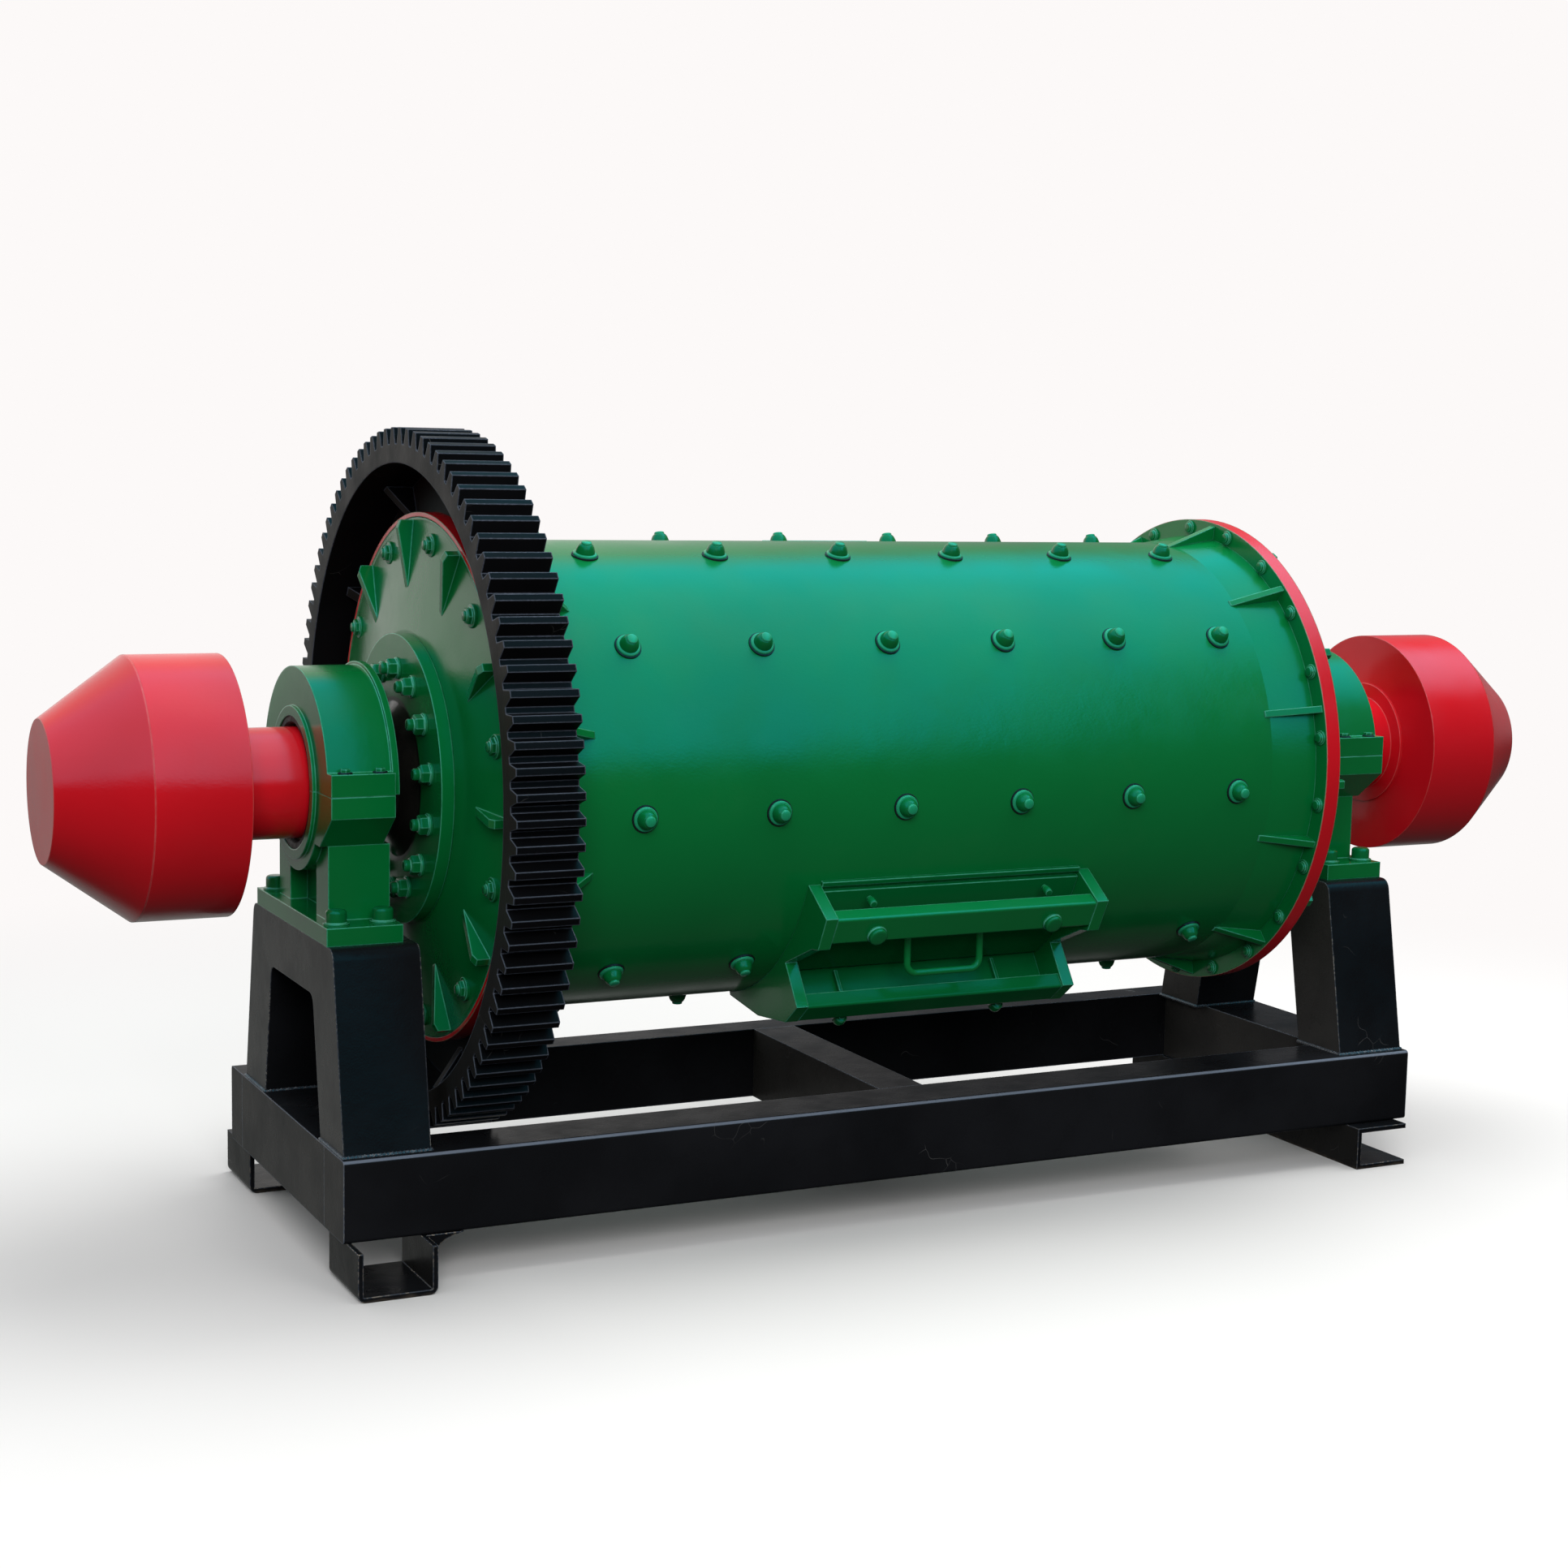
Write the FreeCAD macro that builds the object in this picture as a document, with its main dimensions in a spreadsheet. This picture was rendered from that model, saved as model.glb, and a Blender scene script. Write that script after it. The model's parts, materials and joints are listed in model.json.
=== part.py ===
import FreeCAD, Part
import math
import operator
import os
from types import SimpleNamespace

import Sketcher

# A batch ball mill: a welded drum with a head, a trunnion and a feeder at each end, a toothed
# ring on the left end, two bearings on portal pedestals, and a base frame on feet.
# X runs along the drum, -Y is the manhole side, +Z is up, and the origin is on the floor
# under the middle of the drum. Lengths are millimetres, angles degrees.
#
# An angle round the drum is 0 towards -Y and 90 straight up.

SIZES = {
    # drum
    "axis_height": 890, "shell_radius": 460, "shell_wall": 12, "shell_left_end": 918,
    "shell_right_end": 835, "flange_radius": 512, "flange_thick": 17, "rim_inner_radius": 503,
    "collar_length": 100, "collar_radius": 476, "gusset_start": 721, "gusset_radius": 506,
    "gusset_thick": 14, "gusset_count": 11, "gusset_phase": 81,
    # heads, trunnions, feeders
    "head_radius": 502, "cone_foot_radius": 494, "cone_top_radius": 286, "head_rise": 24,
    "head_wall": 22, "rib_count": 11, "rib_thick": 16, "rib_height": 31, "rib_length": 124,
    "rib_phase": 30,
    "trunnion_flange_radius": 280, "trunnion_flange_thick": 25, "hub_radius": 150,
    "journal_radius": 106, "journal_bore": 80, "journal_end": 1190,
    "neck_collar_radius": 138, "neck_collar_thick": 6,
    "feeder_start": 1341, "feeder_cone_start": 1515, "feeder_end": 1670,
    "feeder_radius": 247, "feeder_end_radius": 134, "feeder_wall": 8,
    # toothed ring
    "gear_outer_end": 1000, "gear_inner_end": 873, "gear_teeth": 94, "gear_module": 14,
    "gear_bore_radius": 605, "web_radius": 604, "web_thick": 16, "lug_count": 11,
    "lug_thick": 22, "lug_height": 75, "lug_reach": 56, "web_gusset_start": 766,
    "web_gusset_radius": 560,
    # manhole
    "manhole_half_length": 316, "end_plate_thick": 26, "hole_half_length": 268,
    "hole_half_height": 100, "hole_angle": -38.6, "cover_thick": 10, "cover_half_angle": 14.2,
    "clamp_height": 59, "clamp_depth": 30, "clamp_round": 5, "upper_clamp_angle": -28.4,
    "upper_clamp_radius": 553, "lower_clamp_angle": -51.2, "lower_clamp_radius": 574,
    "upper_wall_angle": -22.6, "lower_wall_angle": -55.4,
    "upper_wall_height": 8, "lower_wall_gap": 22, "port_half": 100,
    "handle_rod": 7, "handle_half_width": 82, "handle_angle": -31.2, "handle_drop": 132,
    "rear_plate_angle": 130, "rear_plate_span": 32, "rear_plate_radius": 497,
    "rear_plate_top_half": 125, "rear_plate_foot_half": 193,
    # bearings
    "plate_inner_end": 1062, "plate_outer_end": 1207, "plate_half_width": 244,
    "plate_bottom": 616, "plate_top": 650, "column_inner_end": 1064, "column_outer_end": 1182,
    "column_half_width": 168, "column_pocket_half": 90, "column_pocket_depth": 34,
    "column_pocket_top": 763,
    "housing_inner_end": 1077, "housing_outer_end": 1198, "ear_half_width": 245,
    "ear_above": 42, "ear_below": 40, "ear_chamfer_below": 100, "cap_radius": 221,
    "boss_radius": 167, "housing_bore": 127, "seal_radius": 146, "seal_proud": 7,
    "lip_radius": 228, "lip_thick": 13, "bush_gap": 0.08, "bush_recess": 12,
    # pedestals
    "pedestal_inner_end": 1040, "pedestal_outer_end": 1206, "pedestal_top_half": 275,
    "pedestal_foot_half": 343, "window_top_half": 146, "window_foot_half": 196,
    "window_top": 510, "pedestal_round": 24, "window_round": 26,
    # base frame and feet
    "base_half_length": 1212, "base_front": 364, "base_rear": 440, "base_bottom": 91,
    "base_top": 245, "front_beam_width": 125, "rear_beam_width": 85, "end_beam_width": 150,
    "beam_round": 8, "cross_beam_half": 50, "right_foot_outer_end": 1185,
    "right_foot_overhang": 36,
    "foot_inner_end": 1055, "foot_outer_end": 1205, "foot_overhang": 66,
    "foot_length": 182, "foot_plate": 10, "foot_round": 16,
    "corner_gusset_length": 72, "corner_gusset_drop": 46,
}

# Corners between the two ends of a foot's curved gusset, as shares of its length and drop.
GUSSET_CURVE = [(0.2, 0.62), (0.55, 0.2)]
# Tooth proportions in modules: height above and below the pitch circle, and the half width
# of the gap at the tips and at the root.
ADDENDUM, DEDENDUM, GAP_MOUTH, GAP_FLOOR = 1, 1.25, 1.12, 0.42
# Outline of a manhole end plate between its two feet, as (radius, angle round the drum).
END_PLATE_OUTLINE = [(554, -25), (556, -32.5), (536, -34.2), (480, -46.4), (575, -47.9),
                     (574, -54.2), (522, -66), (468, -80)]
END_PLATE_FEET = -22.5, -81
# How far a cutting tool passes beyond what it cuts.
PASS = 20

LEFT, RIGHT = -1, 1
V = FreeCAD.Vector
doc = FreeCAD.newDocument("ball_mill")


class Size:
    """A number together with the spreadsheet expression that gives it."""

    def __init__(self, text, value):
        self.text = text
        self.value = value


def as_size(number):
    return number if isinstance(number, Size) else Size(str(number), number)


def arithmetic(sign, rule, swapped=False):
    def method(self, other):
        first, second = (as_size(other), self) if swapped else (self, as_size(other))
        return Size(f"({first.text} {sign} {second.text})", rule(first.value, second.value))
    return method


for method_name, sign, rule in (("add", "+", operator.add), ("sub", "-", operator.sub),
                                ("mul", "*", operator.mul), ("truediv", "/", operator.truediv)):
    setattr(Size, f"__{method_name}__", arithmetic(sign, rule))
    setattr(Size, f"__r{method_name}__", arithmetic(sign, rule, swapped=True))


def sine(angle):
    return Size(f"sin({angle.text})", math.sin(math.radians(angle.value)))


def cosine(angle):
    return Size(f"cos({angle.text})", math.cos(math.radians(angle.value)))


def make_sheet():
    """The spreadsheet of driving sizes, and a Size for each of its cells."""
    sheet = doc.addObject("Spreadsheet::Sheet", "sizes")
    for row, (alias, value) in enumerate(SIZES.items(), 1):
        sheet.set(f"A{row}", alias)
        sheet.set(f"B{row}", str(value))
        sheet.setAlias(f"B{row}", alias)
    doc.recompute()
    return SimpleNamespace(**{a: Size(f"sizes.{a}", v) for a, v in SIZES.items()})


s = make_sheet()
pieces = []


# ---------------------------------------------------------------- ways of making a piece

def bind(feature, prop, size):
    feature.setExpression(prop, as_size(size).text)


def turn_about_axis(angle):
    """Rotation that carries straight up to an angle round the drum."""
    return FreeCAD.Rotation(V(1, 0, 0), 90 - angle)


def new_body(label, height=0, rotation=None):
    body = doc.addObject("PartDesign::Body", label)
    body.Label = label
    body.AllowCompound = True
    body.Placement = FreeCAD.Placement(V(0, 0, as_size(height).value),
                                       rotation or FreeCAD.Rotation())
    bind(body, "Placement.Base.z", height)
    return body


def origin_feature(body, role):
    """One of the planes or axes of the body's own origin."""
    return next(item for item in body.Origin.OriginFeatures if item.Role == role)


def new_sketch(body, plane, offset=0):
    """A sketch on one of the body's own origin planes, moved along the plane's normal."""
    sketch = body.newObject("Sketcher::SketchObject", "Sketch")
    sketch.AttachmentSupport = (origin_feature(body, plane), "")
    sketch.MapMode = "FlatFace"
    bind(sketch, "AttachmentOffset.Base.z", offset)
    return sketch


def draw_outline(sketch, corners):
    """A closed polygon, each corner held by its two distances from the sketch's origin."""
    corners = [(as_size(x), as_size(y)) for x, y in corners]
    first = sketch.GeometryCount
    count = len(corners)
    for i, (x, y) in enumerate(corners):
        next_x, next_y = corners[(i + 1) % count]
        sketch.addGeometry(Part.LineSegment(V(x.value, y.value), V(next_x.value, next_y.value)))
    for i, corner in enumerate(corners):
        sketch.addConstraint(
            Sketcher.Constraint("Coincident", first + i, 2, first + (i + 1) % count, 1))
        for kind, size in zip(("DistanceX", "DistanceY"), corner):
            index = sketch.addConstraint(
                Sketcher.Constraint(kind, -1, 1, first + i, 1, size.value))
            sketch.setExpression(f"Constraints[{index}]", size.text)


def add_feature(body, kind, sketch, **sizes):
    feature = body.newObject(f"PartDesign::{kind}", kind)
    feature.Profile = sketch
    for prop, size in sizes.items():
        bind(feature, prop, size)
    body.Tip = feature
    return feature


def turn_profile(body, profile, angle=360):
    """Revolves a profile of (x, radius) corners about the drum's axis."""
    sketch = new_sketch(body, "XZ_Plane")
    draw_outline(sketch, profile)
    turned = add_feature(body, "Revolution", sketch)
    turned.ReferenceAxis = (sketch, ["H_Axis"])
    bind(turned, "Angle", angle)


def extrude_along_x(body, outline, x_from, x_to, kind="Pad"):
    """Extrudes an outline of (y, z) corners from one x to a larger one."""
    sketch = new_sketch(body, "YZ_Plane", x_from)
    draw_outline(sketch, outline)
    feature = add_feature(body, kind, sketch, Length=x_to - x_from)
    if kind == "Pocket":
        feature.Reversed = True
    return feature


def add_radial_plates(body, outline, thickness, count):
    """Flat plates of (x, radius) outline, standing on end and spaced evenly round the axis."""
    sketch = new_sketch(body, "XZ_Plane", thickness * -0.5)
    draw_outline(sketch, outline)
    plate = add_feature(body, "Pad", sketch, Length=thickness)
    doc.recompute()
    ring = body.newObject("PartDesign::PolarPattern", "PolarPattern")
    ring.Originals = [plate]
    ring.Axis = (origin_feature(body, "X_Axis"), [""])
    ring.Angle = 360
    bind(ring, "Occurrences", count)
    body.Tip = ring


def round_edges(body, radius, wanted):
    """Rounds every edge of the body for which wanted(edge) is true."""
    doc.recompute()
    base = body.Tip
    fillet = body.newObject("PartDesign::Fillet", "Fillet")
    fillet.Base = (base, [f"Edge{i}" for i, edge in enumerate(base.Shape.Edges, 1)
                          if wanted(edge)])
    bind(fillet, "Radius", radius)
    body.Tip = fillet


def edge_along_x(y, z):
    """A test for edges that run along X through (y, z), on either side of the middle."""
    def test(edge):
        middle = edge.CenterOfMass
        start, end = edge.Vertexes[0].Point, edge.Vertexes[-1].Point
        along = abs(start.y - end.y) + abs(start.z - end.z) < 0.01
        return along and abs(abs(middle.y) - y.value) < 1 and abs(middle.z - z.value) < 1
    return test


def box(x_from, x_to, y_from, y_to, z_from, z_to, name="Box"):
    made = doc.addObject("Part::Box", name)
    for prop, low, high in (("Length", x_from, x_to), ("Width", y_from, y_to),
                            ("Height", z_from, z_to)):
        bind(made, prop, as_size(high) - low)
    for axis, low in zip("xyz", (x_from, y_from, z_from)):
        bind(made, f"Placement.Base.{axis}", low)
    return made


def rod_along_x(radius, x_from, x_to, name="Cylinder"):
    """A round bar on the drum's axis."""
    made = doc.addObject("Part::Cylinder", name)
    made.Placement.Rotation = FreeCAD.Rotation(V(0, 1, 0), 90)
    bind(made, "Radius", radius)
    bind(made, "Height", as_size(x_to) - x_from)
    bind(made, "Placement.Base.x", x_from)
    bind(made, "Placement.Base.z", s.axis_height)
    return made


def fuse(*shapes, name="Fusion"):
    made = doc.addObject("Part::MultiFuse", name)
    made.Shapes = list(shapes)
    return made


def cut(base, tool, name="Cut"):
    made = doc.addObject("Part::Cut", name)
    made.Base, made.Tool = base, tool
    return made


def common(base, tool, name="Common"):
    made = doc.addObject("Part::Common", name)
    made.Base, made.Tool = base, tool
    return made


def keep(piece, label):
    """Names a finished piece and puts it on the list that is written out."""
    piece.Label = label
    pieces.append(piece)


def side_name(side):
    return "left" if side == LEFT else "right"


def ends(side, inner, outer):
    """The x range between two distances from the middle, on one side of it."""
    return (inner, outer) if side == RIGHT else (outer * -1, inner * -1)


def mirror_profile(side, profile):
    return [(x * side, radius) for x, radius in profile]


# ---------------------------------------------------------------- base frame and feet

def make_beam(label, x_from, x_to, y_from, y_to, rounded):
    """A box beam along the floor; the edges for which rounded(edge) is true are eased."""
    body = new_body(label)
    extrude_along_x(body, [(y_from, s.base_bottom), (y_to, s.base_bottom),
                           (y_to, s.base_top), (y_from, s.base_top)], x_from, x_to)
    if rounded:
        round_edges(body, s.beam_round, rounded)
    keep(body, label)


def make_base_frame():
    front_inside = s.front_beam_width - s.base_front
    rear_inside = s.base_rear - s.rear_beam_width
    length = s.base_half_length * -1, s.base_half_length
    for label, outside, y_from, y_to in (
            ("front_beam", s.base_front, s.base_front * -1, front_inside),
            ("rear_beam", s.base_rear, rear_inside, s.base_rear)):
        outer_top = edge_along_x(outside, s.base_top)
        outer_bottom = edge_along_x(outside, s.base_bottom)
        make_beam(label, *length, y_from, y_to, lambda e: outer_top(e) or outer_bottom(e))
    for side in (LEFT, RIGHT):
        x_range = ends(side, s.base_half_length - s.end_beam_width, s.base_half_length)
        make_beam(f"{side_name(side)}_end_beam", *x_range, front_inside, rear_inside, None)
    make_beam("centre_cross_beam", s.cross_beam_half * -1, s.cross_beam_half,
              front_inside, rear_inside, None)


def make_left_foot(front):
    """A short channel under a corner, open upwards, with a curved gusset along the beam."""
    label = f"foot_{'front' if front else 'rear'}_left"
    x_from, x_to = ends(LEFT, s.foot_inner_end, s.foot_outer_end)
    if front:
        low = (s.base_front + s.foot_overhang) * -1
        high = low + s.foot_length
    else:
        high = s.base_rear + s.foot_overhang
        low = high - s.foot_length
    channel = new_body(f"channel_{label}")
    sketch = new_sketch(channel, "XZ_Plane", high * -1)
    wall, top = s.foot_plate, s.base_bottom
    draw_outline(sketch, [(x_from, 0), (x_to, 0), (x_to, top), (x_to - wall, top),
                          (x_to - wall, wall), (x_from + wall, wall), (x_from + wall, top),
                          (x_from, top)])
    add_feature(channel, "Pad", sketch, Length=high - low)
    round_edges(channel, s.foot_round, lambda edge: edge.CenterOfMass.z < 0.01
                and edge.BoundBox.YLength > 100)
    gusset = new_body(f"gusset_{label}")
    face = s.base_front - wall if front else s.base_rear * -1
    sketch = new_sketch(gusset, "XZ_Plane", face)
    length, drop = s.corner_gusset_length, s.corner_gusset_drop
    curve = [(x_to + length * along, top - drop * down) for along, down in GUSSET_CURVE]
    draw_outline(sketch, [(x_to, top), (x_to, top - drop), *curve, (x_to + length, top)])
    add_feature(gusset, "Pad", sketch, Length=wall)
    keep(fuse(channel, gusset), label)


def make_right_foot():
    """A channel on its side right across the frame, its flanges pointing outwards."""
    x_from, x_to = ends(RIGHT, s.foot_inner_end, s.right_foot_outer_end)
    across = ((s.base_front + s.right_foot_overhang) * -1, s.base_rear + s.right_foot_overhang)
    outside = box(x_from, x_to, *across, 0, s.base_bottom)
    hollow = box(x_from + s.foot_plate, x_to, *across, s.foot_plate,
                 s.base_bottom - s.foot_plate)
    keep(cut(outside, hollow, "foot_channel_right"), "foot_channel_right")


def make_pedestal(side):
    """A portal with sloping legs and a window through it along X."""
    label = f"pedestal_{side_name(side)}"
    body = new_body(label)
    top, foot, window = s.pedestal_top_half, s.pedestal_foot_half, s.window_foot_half
    outline = [(foot * -1, s.base_top), (window * -1, s.base_top),
               (s.window_top_half * -1, s.window_top), (s.window_top_half, s.window_top),
               (window, s.base_top), (foot, s.base_top),
               (top, s.plate_bottom), (top * -1, s.plate_bottom)]
    extrude_along_x(body, outline, *ends(side, s.pedestal_inner_end, s.pedestal_outer_end))
    round_edges(body, s.pedestal_round, edge_along_x(top, s.plate_bottom))
    round_edges(body, s.window_round, edge_along_x(s.window_top_half, s.window_top))
    keep(body, label)


# ---------------------------------------------------------------- bearings

def make_bearing(side):
    """A split plummer block: base and cap meet at the axis, with a bush between."""
    name = side_name(side)
    housing = ends(side, s.housing_inner_end, s.housing_outer_end)
    wide = ends(side, s.plate_inner_end - PASS, s.plate_outer_end + PASS)
    bore = rod_along_x(s.housing_bore, *wide, name="bore")
    seal = rod_along_x(s.seal_radius, *ends(side, s.housing_outer_end,
                                            s.housing_outer_end + s.seal_proud), name="seal")
    lip_range = ends(side, s.housing_inner_end - s.lip_thick, s.housing_inner_end)
    block = (s.plate_half_width * -2, s.plate_half_width * 2)
    above = box(*wide, *block, s.axis_height, s.axis_height + s.cap_radius * 2, name="above")
    below = box(*wide, *block, 0, s.axis_height, name="below")

    foot_plate = box(*ends(side, s.plate_inner_end, s.plate_outer_end),
                     s.plate_half_width * -1, s.plate_half_width,
                     s.plate_bottom, s.plate_top, name="foot_plate")
    column = new_body(f"column_{name}")
    half, ear = s.column_half_width, s.ear_half_width
    chamfer = s.axis_height - s.ear_chamfer_below
    extrude_along_x(column, [(half * -1, s.plate_top), (half, s.plate_top), (half, chamfer),
                             (half * -1, chamfer)],
                    *ends(side, s.column_inner_end, s.column_outer_end))
    shoulder = new_body(f"shoulder_{name}")
    ear_bottom = s.axis_height - s.ear_below
    extrude_along_x(shoulder, [(half * -1, chamfer), (half, chamfer), (ear, ear_bottom),
                               (ear, s.axis_height), (ear * -1, s.axis_height),
                               (ear * -1, ear_bottom)], *housing)
    pocket = box(*ends(side, s.column_outer_end - s.column_pocket_depth, s.column_outer_end),
                 s.column_pocket_half * -1, s.column_pocket_half, s.plate_top,
                 s.column_pocket_top, name="pocket")
    boss = rod_along_x(s.boss_radius, *housing, name="boss")
    lower_lip = rod_along_x(s.boss_radius, *lip_range, name="lower_lip")
    round_parts = common(fuse(boss, seal, lower_lip), below)
    solid = cut(fuse(foot_plate, column, shoulder), pocket)
    keep(cut(fuse(solid, round_parts), bore), f"bearing_base_{name}")

    arch = rod_along_x(s.cap_radius, *housing, name="arch")
    lip = rod_along_x(s.lip_radius, *lip_range, name="lip")
    seal_top = rod_along_x(s.seal_radius, *ends(side, s.housing_outer_end,
                                                s.housing_outer_end + s.seal_proud))
    ears = box(*housing, ear * -1, ear, s.axis_height, s.axis_height + s.ear_above, name="ears")
    upper = fuse(common(fuse(arch, lip, seal_top), above), ears)
    keep(cut(upper, rod_along_x(s.housing_bore, *wide, name="cap_bore")), f"bearing_cap_{name}")

    bush = ends(side, s.housing_inner_end + s.bush_recess, s.housing_outer_end - s.bush_recess)
    keep(cut(rod_along_x(s.housing_bore, *bush),
             rod_along_x(s.journal_radius + s.bush_gap, *bush)), f"bearing_bush_{name}")


# ---------------------------------------------------------------- drum

def turned_piece(label, side, profile):
    body = new_body(label, s.axis_height)
    turn_profile(body, mirror_profile(side, profile))
    keep(body, label)
    return body


def make_shell():
    """The drum's plate, flared at its right end, with the manhole and the rear port cut through."""
    inner = s.shell_radius - s.shell_wall
    left, right = s.shell_left_end * -1, s.shell_right_end
    tube = new_body("tube", s.axis_height)
    turn_profile(tube, [(left, inner), (left, s.shell_radius),
                        (right - s.collar_length, s.shell_radius), (right, s.collar_radius),
                        (right, inner)])
    holes = []
    for angle, half_length, half_height in (
            (s.hole_angle, s.hole_half_length, s.hole_half_height),
            (s.rear_plate_angle, s.port_half, s.port_half)):
        hole = box(half_length * -1, half_length, 0, 1, 0, 1, name="opening")
        bind(hole, "Width", half_height * 2)
        bind(hole, "Height", s.shell_radius + PASS)
        rotation = turn_about_axis(angle.value)
        corner = rotation.multVec(V(0, -half_height.value, 0))
        bind(hole, "Placement.Base.y", corner.y)
        bind(hole, "Placement.Base.z", s.axis_height + corner.z)
        hole.Placement.Rotation = rotation
        holes.append(hole)
    keep(cut(tube, fuse(*holes), "shell"), "shell")


def shell_end(side):
    return s.shell_left_end if side == LEFT else s.shell_right_end


def head_end(side):
    """Where the head stops and the trunnion's flange starts."""
    return shell_end(side) + s.flange_thick * 2 + s.head_rise


def make_shell_flange(side):
    """The ring welded to the end of the shell, with a rim that reaches round the head."""
    end = shell_end(side)
    inner = s.shell_radius - s.shell_wall
    face = end + s.flange_thick
    rim_end = face + s.flange_thick
    turned_piece(f"shell_flange_{side_name(side)}", side, [
        (end, s.flange_radius), (rim_end, s.flange_radius), (rim_end, s.rim_inner_radius),
        (face, s.rim_inner_radius), (face, inner), (end, inner)])


def make_shell_gussets():
    """Triangular gussets round the right end, from the shell up to its flange."""
    end, start = s.shell_right_end, s.shell_right_end - s.collar_length
    body = new_body("shell_gussets", s.axis_height, turn_about_axis(s.gusset_phase.value))
    add_radial_plates(body, [(s.gusset_start, s.shell_radius), (end, s.gusset_radius),
                             (end, s.collar_radius), (start, s.shell_radius)],
                      s.gusset_thick, s.gusset_count)
    keep(body, "shell_gussets")


def make_head(side):
    """A cast head: flange, shallow cone and ribs in one piece."""
    label = f"head_{side_name(side)}"
    back = shell_end(side) + s.flange_thick
    face = back + s.flange_thick
    end = head_end(side)
    body = new_body(label, s.axis_height, turn_about_axis(s.rib_phase.value))
    inner_top = s.cone_top_radius - s.head_wall * 2
    turn_profile(body, mirror_profile(side, [
        (back, s.head_radius), (face, s.head_radius), (face, s.cone_foot_radius),
        (end, s.cone_top_radius), (end, inner_top), (end - s.head_wall, inner_top),
        (back, s.shell_radius - s.shell_wall)]))
    slope = s.head_rise / (s.cone_foot_radius - s.cone_top_radius)
    rib_foot = s.cone_foot_radius - s.rib_length
    foot_x = face + s.rib_length * slope
    add_radial_plates(body, mirror_profile(side, [
        (face - 1, s.head_radius - 4), (foot_x - 1, rib_foot - 4), (foot_x + 1, rib_foot),
        (face + s.rib_height, s.head_radius - s.rib_height * 0.6),
        (face + s.rib_height * 0.8, s.head_radius - 4)]), s.rib_thick, s.rib_count)
    keep(body, label)


def make_trunnion(side):
    end = head_end(side)
    flange_face = end + s.trunnion_flange_thick
    turned_piece(f"trunnion_{side_name(side)}", side, [
        (end, s.trunnion_flange_radius), (flange_face, s.trunnion_flange_radius),
        (flange_face, s.hub_radius), (flange_face + s.trunnion_flange_thick, s.journal_radius),
        (s.journal_end, s.journal_radius), (s.journal_end, s.journal_bore),
        (end, s.journal_bore)])


def make_feeder(side):
    """Neck tube, drum with its back plate, and the closed cone outside it."""
    name = side_name(side)
    wall = s.feeder_wall
    collar_start = s.feeder_start - s.neck_collar_thick
    turned_piece(f"feeder_neck_{name}", side, [
        (s.journal_end, s.journal_radius), (collar_start, s.journal_radius),
        (collar_start, s.neck_collar_radius), (s.feeder_start, s.neck_collar_radius),
        (s.feeder_start, s.journal_radius - wall), (s.journal_end, s.journal_radius - wall)])
    turned_piece(f"feeder_drum_{name}", side, [
        (s.feeder_start, s.feeder_radius), (s.feeder_cone_start, s.feeder_radius),
        (s.feeder_cone_start, s.feeder_radius - wall),
        (s.feeder_start + wall, s.feeder_radius - wall),
        (s.feeder_start + wall, s.journal_radius - wall),
        (s.feeder_start, s.journal_radius - wall)])
    turned_piece(f"feeder_cone_{name}", side, [
        (s.feeder_cone_start, s.feeder_radius), (s.feeder_end, s.feeder_end_radius),
        (s.feeder_end, 0), (s.feeder_end - wall, 0),
        (s.feeder_end - wall, s.feeder_end_radius - wall * 0.6),
        (s.feeder_cone_start, s.feeder_radius - wall * 1.2)])


def make_gear():
    """The toothed ring round the drum's left end."""
    label = "girth_gear"
    body = new_body(label, s.axis_height)
    root = s.gear_module * (s.gear_teeth * 0.5 - DEDENDUM)
    tip = s.gear_module * (s.gear_teeth * 0.5 + ADDENDUM)
    turn_profile(body, [(s.gear_outer_end * -1, s.gear_bore_radius),
                        (s.gear_outer_end * -1, tip), (s.gear_inner_end * -1, tip),
                        (s.gear_inner_end * -1, s.gear_bore_radius)])
    sketch = new_sketch(body, "YZ_Plane", s.gear_outer_end * -1)
    mouth, floor = s.gear_module * GAP_MOUTH, s.gear_module * GAP_FLOOR
    draw_outline(sketch, [(floor * -1, root), (floor, root), (mouth, tip), (mouth, tip + PASS),
                          (mouth * -1, tip + PASS), (mouth * -1, tip)])
    gap = add_feature(body, "Pocket", sketch, Length=s.gear_outer_end - s.gear_inner_end)
    gap.Reversed = True
    doc.recompute()
    ring = body.newObject("PartDesign::PolarPattern", "PolarPattern")
    ring.Originals = [gap]
    ring.Axis = (sketch, ["N_Axis"])
    ring.Angle = 360
    ring.Refine = False
    bind(ring, "Occurrences", s.gear_teeth)
    body.Tip = ring
    keep(body, label)


def make_gear_web():
    """The plate that carries the toothed ring on the shell, with lugs and gussets."""
    web = new_body("girth_gear_web", s.axis_height, turn_about_axis(s.gusset_phase.value))
    back, front = s.gear_inner_end, s.gear_inner_end + s.web_thick
    turn_profile(web, mirror_profile(LEFT, [
        (back, s.shell_radius), (front, s.shell_radius), (front, s.web_radius),
        (back, s.web_radius)]))
    add_radial_plates(web, mirror_profile(LEFT, [
        (back, s.web_radius), (back, s.web_radius - s.lug_height),
        (front, s.web_radius - s.lug_height), (front + s.lug_reach, s.web_radius - 1),
        (front, s.web_radius - 1)]), s.lug_thick, s.lug_count)
    keep(web, "girth_gear_web")
    gussets = new_body("girth_gear_gussets", s.axis_height,
                       turn_about_axis(s.gusset_phase.value))
    add_radial_plates(gussets, mirror_profile(LEFT, [
        (s.web_gusset_start, s.shell_radius), (back, s.shell_radius),
        (back, s.web_gusset_radius)]), s.gusset_thick, s.gusset_count)
    keep(gussets, "girth_gear_gussets")


# ---------------------------------------------------------------- manhole

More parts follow.
